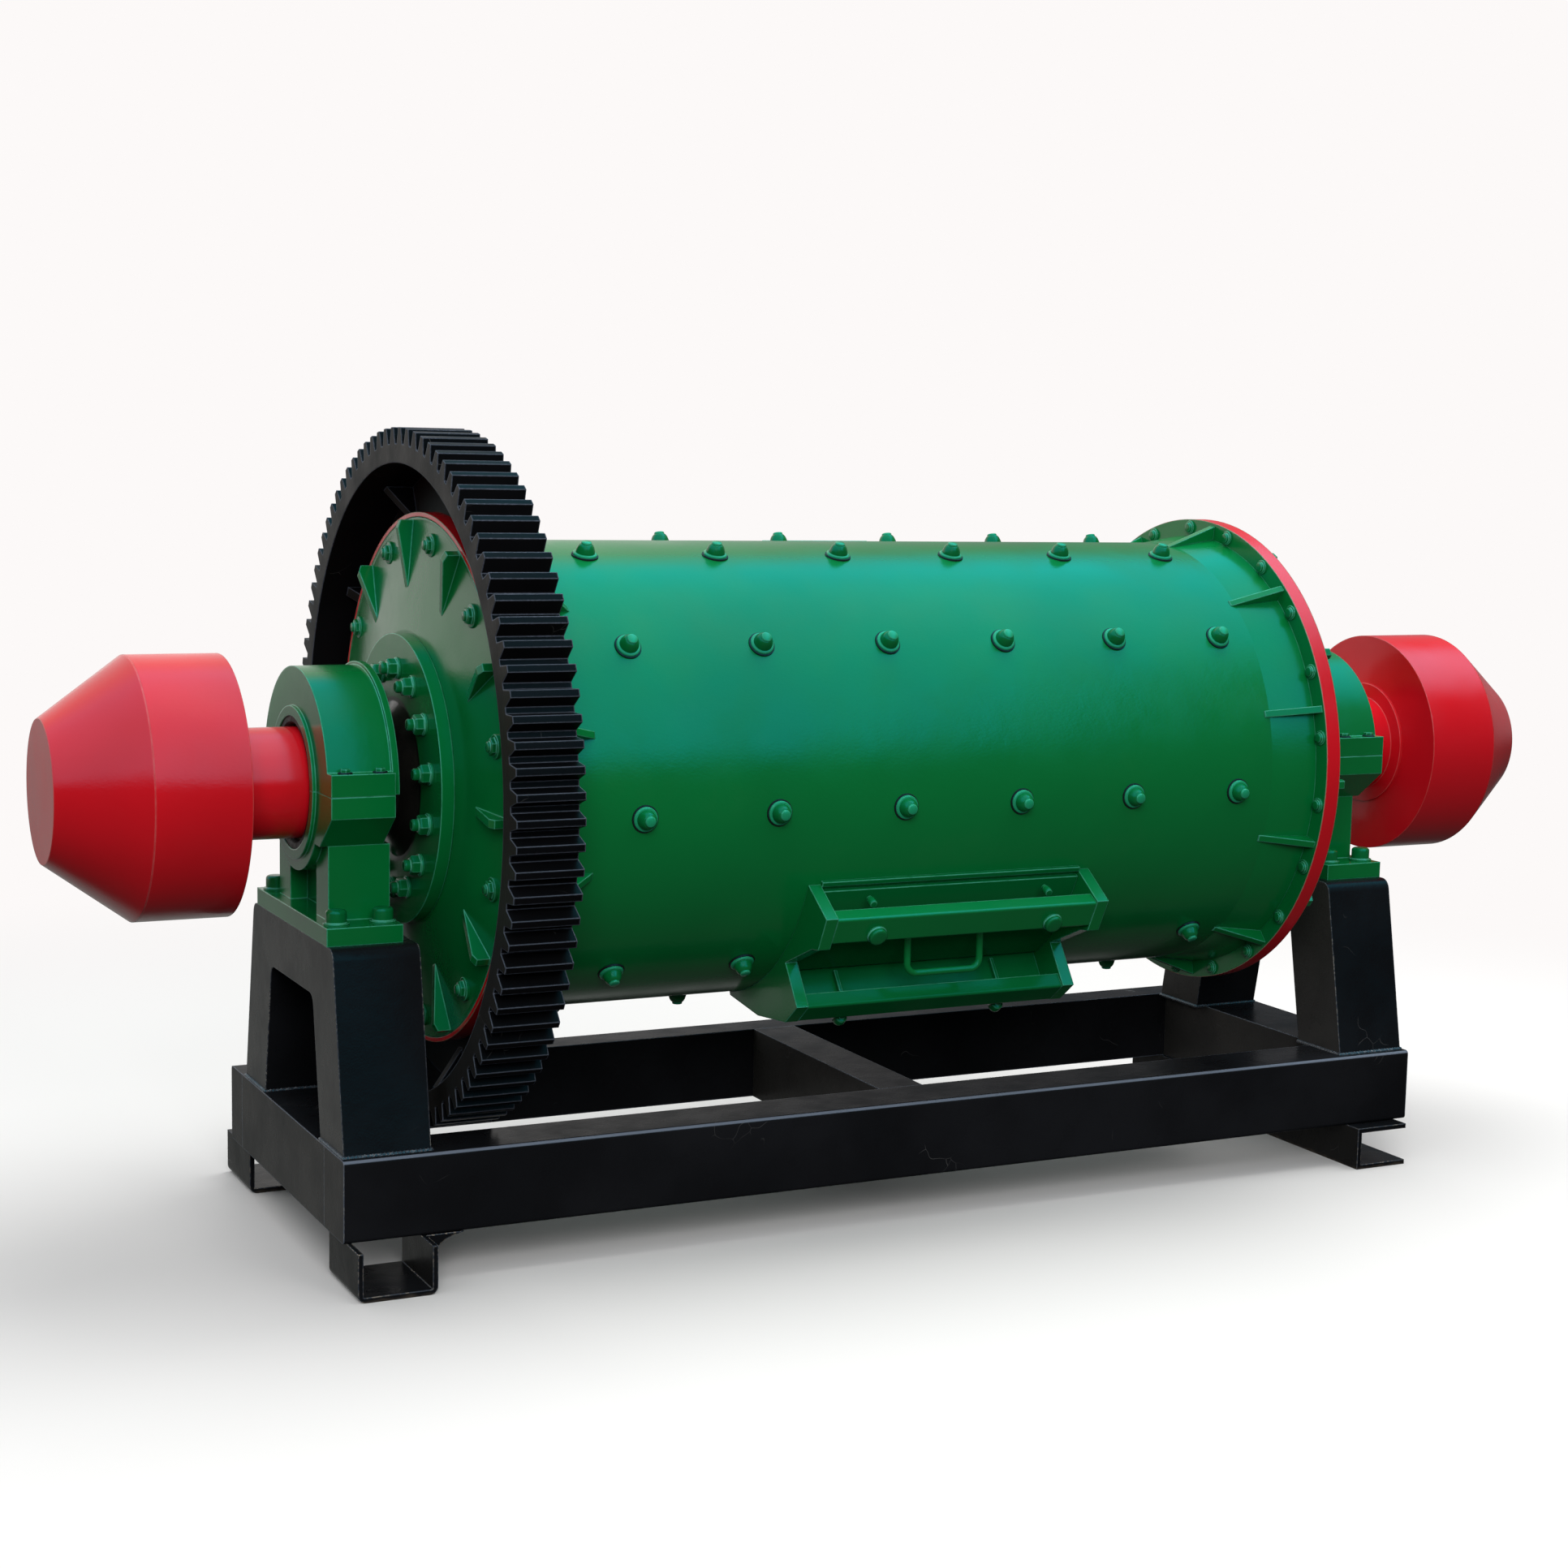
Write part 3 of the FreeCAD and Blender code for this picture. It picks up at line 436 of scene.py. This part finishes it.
# Gear: the bluish chip colour, the edge line and the end-face colour are painted reflections of the
# sky and floor on the teeth.
gear_paint = black_paint("gear_black", colour=(0.0035, 0.0036, 0.0042), gloss=0.34, wear=0.9,
                         wear_and_sheen=(0.15, 0.17, 0.23), end_face_reflection=(0.026, 0.024, 0.022), line=0.5,
                         specular=0.05)
sealant_and_shade = plain_rubber("dark_sealant")
bronze = oiled_bronze("bush_bronze")

FINISHES = {"green_enamel": green, "red_enamel": red, "black_enamel": black,
            "gear_black": gear_paint, "bush_bronze": bronze}
SPECIAL = {"foot_front_left": foot_black, "foot_rear_left": foot_black,
           "foot_channel_right": foot_black, "front_beam": beam_black, "rear_beam": beam_black,
           "left_end_beam": beam_black, "right_end_beam": beam_black,
           "centre_cross_beam": beam_black}
for sheltered in ("manhole_cover", "manhole_wall_lower", "manhole_wall_upper",
                  "manhole_clamp_lower"):
    SPECIAL[sheltered] = green_painted_shade_manhole
for side_of_mill in SIDES.values():
    SPECIAL[f"shell_flange_{side_of_mill}"] = green_with_red_rim
    SPECIAL[f"trunnion_{side_of_mill}"] = green_with_shaded_shaft
for subpart in frame["record"]["subparts"]:
    node = subpart["node"]
    carried = frame["nodes"][node]
    for material_slot in carried.material_slots:
        material_slot.material = SPECIAL.get(node, FINISHES[subpart["material_slot"]])


# ---------------------------------------------------------------- bolts on the shell

LINER_X = (-0.672, -0.398, -0.127, 0.133, 0.395, 0.650)
FULL_ROWS = (105, 71, 37, -4, -90, -131, -172)
MANHOLE_ROW, REAR_ROW = -48.5, 145
BOLT_SEAT = SHELL - 0.0015
REAR_PLATE_HALF = 0.2  # the rear row has no bolts this near the middle, where its plate lies
liner_places = join_places(
    drum_places(LINER_X, FULL_ROWS, BOLT_SEAT),
    drum_places((LINER_X[0], LINER_X[1], LINER_X[-1]), (MANHOLE_ROW,), BOLT_SEAT),
    drum_places([x for x in LINER_X if abs(x) > REAR_PLATE_HALF], (REAR_ROW,), BOLT_SEAT))


SEAL = [(0, 0.0262), (0.0042, 0.0262), (0.0042, 0.020)]
WASHER = [(0.003, 0.0236), (0.0072, 0.0236), (0.0088, 0.0212), (0.0088, 0.015)]
NUT = [(0.0075, 0.0187), (0.01225, 0.0187), (0.02118, 0.015625), (0.02517, 0.0125),
       (0.0265, 0.01025)]
STUD = [(0.022, 0.0103), (0.0295, 0.0103), (0.0305, 0.0088)]
# Painted shade: the dark ring under each washer stands for a gasket and for the shade beneath the
# washer.
make_piece("liner_bolt_seals", [turned(SEAL, liner_places, 28)], sealant_and_shade, "drum")
make_piece("liner_bolt_washers", [turned(WASHER, liner_places, 28)],
           washer_green, "drum")
make_piece("liner_bolt_nuts", [turned(NUT, liner_places, 24, radius=0.003)],
           green_fittings, "drum")
make_piece("liner_bolt_studs", [turned(STUD, liner_places, 20, radius=0.0008)],
           washer_green, "drum")


# ---------------------------------------------------------------- bolts of the flanges and heads

RIM_BOLTS, RIM_PHASE, RIM_CIRCLE = 22, 8.8, 0.4935
HEAD_BOLTS, HEAD_PHASE, HEAD_CIRCLE = 11, 46.4, 0.460
TRUNNION_BOLTS, TRUNNION_PHASE, TRUNNION_CIRCLE = 14, 9, 0.215
HEAD_FLANGE, RISE_AT_BOLTS = 0.017, 0.0037  # the cone has risen this much at the bolt circle
TRUNNION_FLANGE = 0.025
HEXAGON = 6


def spaced_angles(count, phase):
    """Equal steps round a circle, in degrees, from a first angle."""
    return phase + np.arange(count) * 360 / count


rim_angles = spaced_angles(RIM_BOLTS, RIM_PHASE)
head_angles = spaced_angles(HEAD_BOLTS, HEAD_PHASE)
trunnion_angles = spaced_angles(TRUNNION_BOLTS, TRUNNION_PHASE)
for side, name in SIDES.items():
    places = face_places(side * inner_x(f"shell_flange_{name}", side), -side, RIM_CIRCLE,
                         rim_angles)
    make_piece(f"flange_bolts_{name}", [
        turned([(-0.001, 0.0155), (0.004, 0.0155), (0.004, 0.009)], places),
        turned([(0.003, 0.0105), (0.0095, 0.0100), (0.0105, 0.006)], places, 20)],
        green_fittings, "drum")

for side, name in SIDES.items():
    head_face = inner_x(f"head_{name}", side) + HEAD_FLANGE + RISE_AT_BOLTS
    places = face_places(side * head_face, side, HEAD_CIRCLE, head_angles)
    make_piece(f"head_bolts_{name}", [
        turned([(-0.004, 0.0225), (0.005, 0.0225), (0.005, 0.012)], places),
        turned([(0.004, 0.0165), (0.0125, 0.0165), (0.0140, 0.0140)], places, HEXAGON, 0.2),
        turned([(0.012, 0.0095), (0.0180, 0.0095), (0.0190, 0.0080)], places, 20)],
        green_fittings, "drum")
    flange_face = inner_x(f"trunnion_{name}", side) + TRUNNION_FLANGE
    places = face_places(side * flange_face, side, TRUNNION_CIRCLE, trunnion_angles)
    make_piece(f"trunnion_bolts_{name}", [
        turned([(-0.001, 0.0215), (0.004, 0.0215), (0.004, 0.012)], places),
        turned([(0.003, 0.0190), (0.019, 0.0190), (0.0215, 0.0160)], places, HEXAGON, 0.1),
        turned([(0.019, 0.0115), (0.032, 0.0115), (0.034, 0.0090)], places, 20)],
        green_fittings, "drum")


# ---------------------------------------------------------------- manhole fittings

CLAMP_X, TRAY_X = 0.197, 0.180  # how far from the manhole's middle its fittings sit
CLAMP_ANGLE, CLAMP_RADIUS = -29.5, 0.553
PEG_ANGLE, PEG_RADIUS = -24.9, 0.494
STUD_ANGLE, STUD_RADIUS, STUD_DROP = -51.2, 0.560, 0.030
clamp_bolts = drum_places((-CLAMP_X, CLAMP_X), (CLAMP_ANGLE,), CLAMP_RADIUS)
make_piece("clamp_bolt_heads", [
    turned([(-0.001, 0.0205), (0.0030, 0.0205), (0.0035, 0.014)], clamp_bolts, 28),
    turned([(0.002, 0.0185), (0.0115, 0.0185), (0.0135, 0.0150), (0.0140, 0.006)],
           clamp_bolts, 28, radius=0.002)], green_fittings, "drum")
pegs = drum_places((-CLAMP_X, CLAMP_X), (PEG_ANGLE,), PEG_RADIUS)
make_piece("clamp_pegs", [turned([(0, 0.0060), (0.006, 0.0060), (0.007, 0.0085),
                                  (0.020, 0.0085), (0.022, 0.0070)], pegs, 20)],
           green_fittings, "drum")


def unit_outward(angle):
    """The direction (0, -cos a, sin a) that points away from the drum's axis."""
    a = math.radians(angle)
    return np.array([0.0, -math.cos(a), math.sin(a)])


outward, down = unit_outward(STUD_ANGLE), unit_outward(STUD_ANGLE - 90)
stud_middle = outward * STUD_RADIUS + down * STUD_DROP
studs = (np.array([[x, 0.0, AXIS] for x in (-TRAY_X, TRAY_X)]) + stud_middle,
         np.stack([np.stack([np.cross(outward, down), outward, down])] * 2))
make_piece("lower_studs", [
    turned([(-0.002, 0.0065), (0.047, 0.0065), (0.048, 0.0055)], studs, 16),
    turned([(0.020, 0.0085), (0.022, 0.0135), (0.038, 0.0135), (0.040, 0.0100)],
           studs, 20, radius=0.002)], green_fittings, "drum")


def strip(points, thick, normal):
    """A flat bar of rectangular section: two long edges given as points, made thick along a
    normal. Returns one closed tube of four-cornered rings."""
    first, second = (np.array(edge, float) for edge in points)
    half = np.array(normal, float) * thick / 2
    return np.stack([first - half, second - half, second + half, first + half], 1)[None]


def on_drum(x, radius, angle):
    """The point (x, -radius cos a, axis height + radius sin a)."""
    a = math.radians(angle)
    return [x, -radius * math.cos(a), AXIS + radius * math.sin(a)]


TRAY_RADII = np.linspace(0.474, 0.545, 4)
RIB_ROOT, RIB_EDGE, RIB_THICK = -54.7, -53.5, 0.007
tray_ribs = []
for x in (-TRAY_X, TRAY_X):
    root, edge = ([on_drum(x, r, angle) for r in TRAY_RADII] for angle in (RIB_ROOT, RIB_EDGE))
    tray_ribs.append((strip((root, edge), RIB_THICK, (1, 0, 0)), False))
make_piece("tray_ribs", tray_ribs, green_fittings, "drum")


# ---------------------------------------------------------------- weld beads at the pedestals

RIPPLE, RIPPLE_DEPTH = 0.0075, 0.16
LEG_INNER = 0.196


def bead_round(x_from, x_to, y_from, y_to, height, radius=0.0042, step=0.0025):
    """A weld bead round a rectangle at one height: points a step apart along the four sides,
    each with a ring of eight points across the path (path + radius * (cos a * sideways +
    sin a * up)), the radius swelling and shrinking with the length to give ripples."""
    corners = np.array([(x_from, y_from), (x_to, y_from), (x_to, y_to), (x_from, y_to)])
    runs = []
    for first, second in zip(corners, np.roll(corners, -1, axis=0)):
        share = np.arange(0, 1, step / np.hypot(*(second - first)))[:, None]
        runs.append(first + (second - first) * share)
    path = np.concatenate(runs)
    along = np.roll(path, -1, axis=0) - np.roll(path, 1, axis=0)
    along /= np.hypot(*along.T)[:, None]
    sideways = np.stack([along[:, 1], -along[:, 0], along[:, 0] * 0], -1)[:, None]
    angle = np.arange(8) * math.pi / 4
    length = np.arange(len(path)) * step
    swell = radius * (1 + RIPPLE_DEPTH * np.sin(length * 2 * math.pi / RIPPLE))
    centre = np.column_stack([path, np.full(len(path), height)])[:, None]
    cosine, sine = np.cos(angle)[None, :, None], np.sin(angle)[None, :, None]
    across = cosine * sideways + sine * np.array([0, 0, 1.0])
    return (centre + swell[:, None, None] * across)[None]


BEAM_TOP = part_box("front_beam")[1][2]
for side, name in SIDES.items():
    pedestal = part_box(f"pedestal_{name}")
    leg_outer = pedestal[1][1]
    make_piece(f"pedestal_welds_{name}", [
        (bead_round(pedestal[0][0], pedestal[1][0], y_from, y_to, BEAM_TOP), True)
        for y_from, y_to in ((-leg_outer, -LEG_INNER), (LEG_INNER, leg_outer))],
        weld_black, "frame")


# ---------------------------------------------------------------- bearings

HOLD_DOWN_X, HOLD_DOWN_Y = (1.090, 1.179), 0.208
EAR_X, EAR_Y, EAR_THICK = (1.102, 1.168), 0.230, 0.042
SEAL_RING = [(0.0165, 0.1265), (0.0165, 0.1160), (0.010, 0.1115), (0.0, 0.1115), (0.0, 0.1265)]


def pairs_across(xs, side, y, z):
    """Upright places at both -y and y, for each distance from the middle of the mill."""
    return upright_places([(side * x, across, z) for x in xs for across in (-y, y)])


for side, name in SIDES.items():
    places = pairs_across(HOLD_DOWN_X, side, HOLD_DOWN_Y, TOP_OF_PLATE)
    make_piece(f"hold_down_bolts_{name}", [
        turned([(-0.001, 0.0245), (0.0045, 0.0245), (0.0045, 0.018)], places, 28),
        turned([(0.003, 0.0195), (0.0255, 0.0195), (0.0290, 0.0150), (0.0290, 0.004)],
               places, 28, radius=0.003)], green_fittings, "frame")
    ear_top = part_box(f"bearing_cap_{name}")[0][2] + EAR_THICK
    ears = pairs_across(EAR_X, side, EAR_Y, ear_top)
    # Painted shade: a dark disc under each ear bolt stands for the shaded well it sits in.
    make_piece(f"ear_bolt_wells_{name}", [
        turned([(-0.001, 0.0135), (0.0022, 0.0135), (0.0026, 0.0125)], ears)],
        sealant_and_shade, "frame")
    make_piece(f"ear_bolts_{name}", [
        turned([(0.002, 0.0100), (0.008, 0.0100), (0.009, 0.0085)], ears, HEXAGON, 0.4)],
        green_fittings, "frame")
    seal_place = face_places(side * outer_x(f"bearing_bush_{name}", side), side, 0.0, [0.0])
    make_piece(f"bearing_seal_{name}", [
        (place_copies(turned_rings(SEAL_RING, 96), *seal_place), True)],
        sealant_and_shade, "frame")


# ---------------------------------------------------------------- floor and light

BACKDROP = (0.975, 0.947, 0.940)
FLOOR_REACH, FADE_FROM, FADE_TO = 40.0, 1.9, 4.2


def studio_floor():
    """A pale floor that fades into the backdrop's own shade away from the mill."""
    p = Paint("floor")
    across = p.maths("MULTIPLY", p.part(p.place, 0), p.part(p.place, 0))
    away = p.maths("MULTIPLY", p.part(p.place, 1), p.part(p.place, 1))
    distance = p.maths("SQRT", p.maths("ADD", across, away))
    p.finish((0.86, 0.855, 0.85), 0.9, Specular_IOR_Level=0.0)
    glow = p.add("Emission", {"Color": (*BACKDROP, 1.0)}).outputs[0]
    faded = p.step(distance, FADE_FROM, FADE_TO)
    mixed = p.add("MixShader", {0: faded, 1: p.shader.outputs[0], 2: glow})
    p.tree.links.new(mixed.outputs[0], p.tree.nodes["Material Output"].inputs["Surface"])
    return p.material


floor_points = FLOOR_REACH * np.array([(-1, -1, 0), (1, -1, 0), (1, 1, 0), (-1, 1, 0)])
floor_mesh = bpy.data.meshes.new("floor")
floor_mesh.from_pydata(floor_points.tolist(), [], [(0, 1, 2, 3)])
floor_mesh.materials.append(studio_floor())
floor = bpy.data.objects.new("floor", floor_mesh)
scene.collection.objects.link(floor)
floor.visible_glossy = False
floor.visible_diffuse = False


def studio_surroundings():
    """The backdrop to the camera. For light: white behind the mill on the left and grey on the
    right, dim in front of it, dark below, and a sky overhead that is neutral where it lights a
    surface and strongly blue-green where gloss mirrors it."""
    world = bpy.data.worlds.new("studio")
    world.use_nodes = True
    tree = world.node_tree
    tree.nodes.clear()

    def add(kind, inputs=None, **settings):
        made = tree.nodes.new("ShaderNode" + kind)
        for key, value in settings.items():
            setattr(made, key, value)
        for key, value in (inputs or {}).items():
            if isinstance(value, bpy.types.NodeSocket):
                tree.links.new(value, made.inputs[key])
            else:
                made.inputs[key].default_value = value
        return made

    def mix(share, first, second):
        return add("Mix", {0: share, 6: first, 7: second}, data_type="RGBA").outputs[2]

    def step(value, low, high):
        return add("MapRange", {0: value, 1: low, 2: high},
                   interpolation_type="SMOOTHSTEP").outputs[0]

    x, y, z = add("SeparateXYZ", {0: add("TexCoord").outputs["Generated"]}).outputs
    rays = add("LightPath").outputs
    back = mix(step(x, 0.25, 0.55), (0.90, 0.88, 0.86, 1), (0.22, 0.22, 0.23, 1))
    level = mix(step(y, -0.15, 0.45), (0.050, 0.055, 0.065, 1), back)
    mirrored = mix(step(x, 0.12, 0.42), (0.08, 1.10, 1.60, 1), (0.12, 1.9, 2.7, 1))
    lower_edge = add("Math", {0: step(x, 0.48, 0.60), 1: 0.50}, operation="MULTIPLY").outputs[0]
    over_edge = add("Math", {0: z, 1: lower_edge}, operation="SUBTRACT").outputs[0]
    over_mill = add("Math", {0: step(over_edge, 0.06, 0.30), 1: step(y, 0.75, 0.45)},
                    operation="MULTIPLY").outputs[0]
    in_gloss = mix(over_mill, level, mirrored)
    on_surfaces = mix(step(z, 0.30, 0.48), level, (0.60, 0.62, 0.63, 1))
    above = mix(rays["Is Glossy Ray"], on_surfaces, in_gloss)
    floor_light = mix(step(y, 0.55, 0.80), (0.05, 0.05, 0.05, 1), (0.30, 0.31, 0.30, 1))
    below = mix(step(z, -0.01, -0.12), above, floor_light)
    seen = mix(rays["Is Camera Ray"], below, (*BACKDROP, 1))
    background = add("Background", {"Color": seen, "Strength": 1.0})
    output = add("OutputWorld")
    tree.links.new(background.outputs[0], output.inputs[0])
    scene.world = world


def soft_light(name, place, target, size, power, colour, seen_in_gloss):
    """A square panel at place that faces target."""
    data = bpy.data.lights.new(name, "AREA")
    data.size = size
    data.energy = power
    data.color = colour
    panel = bpy.data.objects.new(name, data)
    direction = Vector(target) - Vector(place)
    panel.matrix_world = (Matrix.Translation(place)
                          @ direction.to_track_quat("-Z", "Y").to_matrix().to_4x4())
    panel.visible_glossy = seen_in_gloss
    scene.collection.objects.link(panel)


studio_surroundings()
soft_light("overhead", (1.5, 0.5, 6.0), (0, 0, 0.4), 5.0, 290, (1.0, 0.99, 0.97), False)
soft_light("front_fill", (-2.5, -6.0, 3.5), (0, 0, 0.8), 3.0, 205, (1.0, 0.99, 0.98), False)
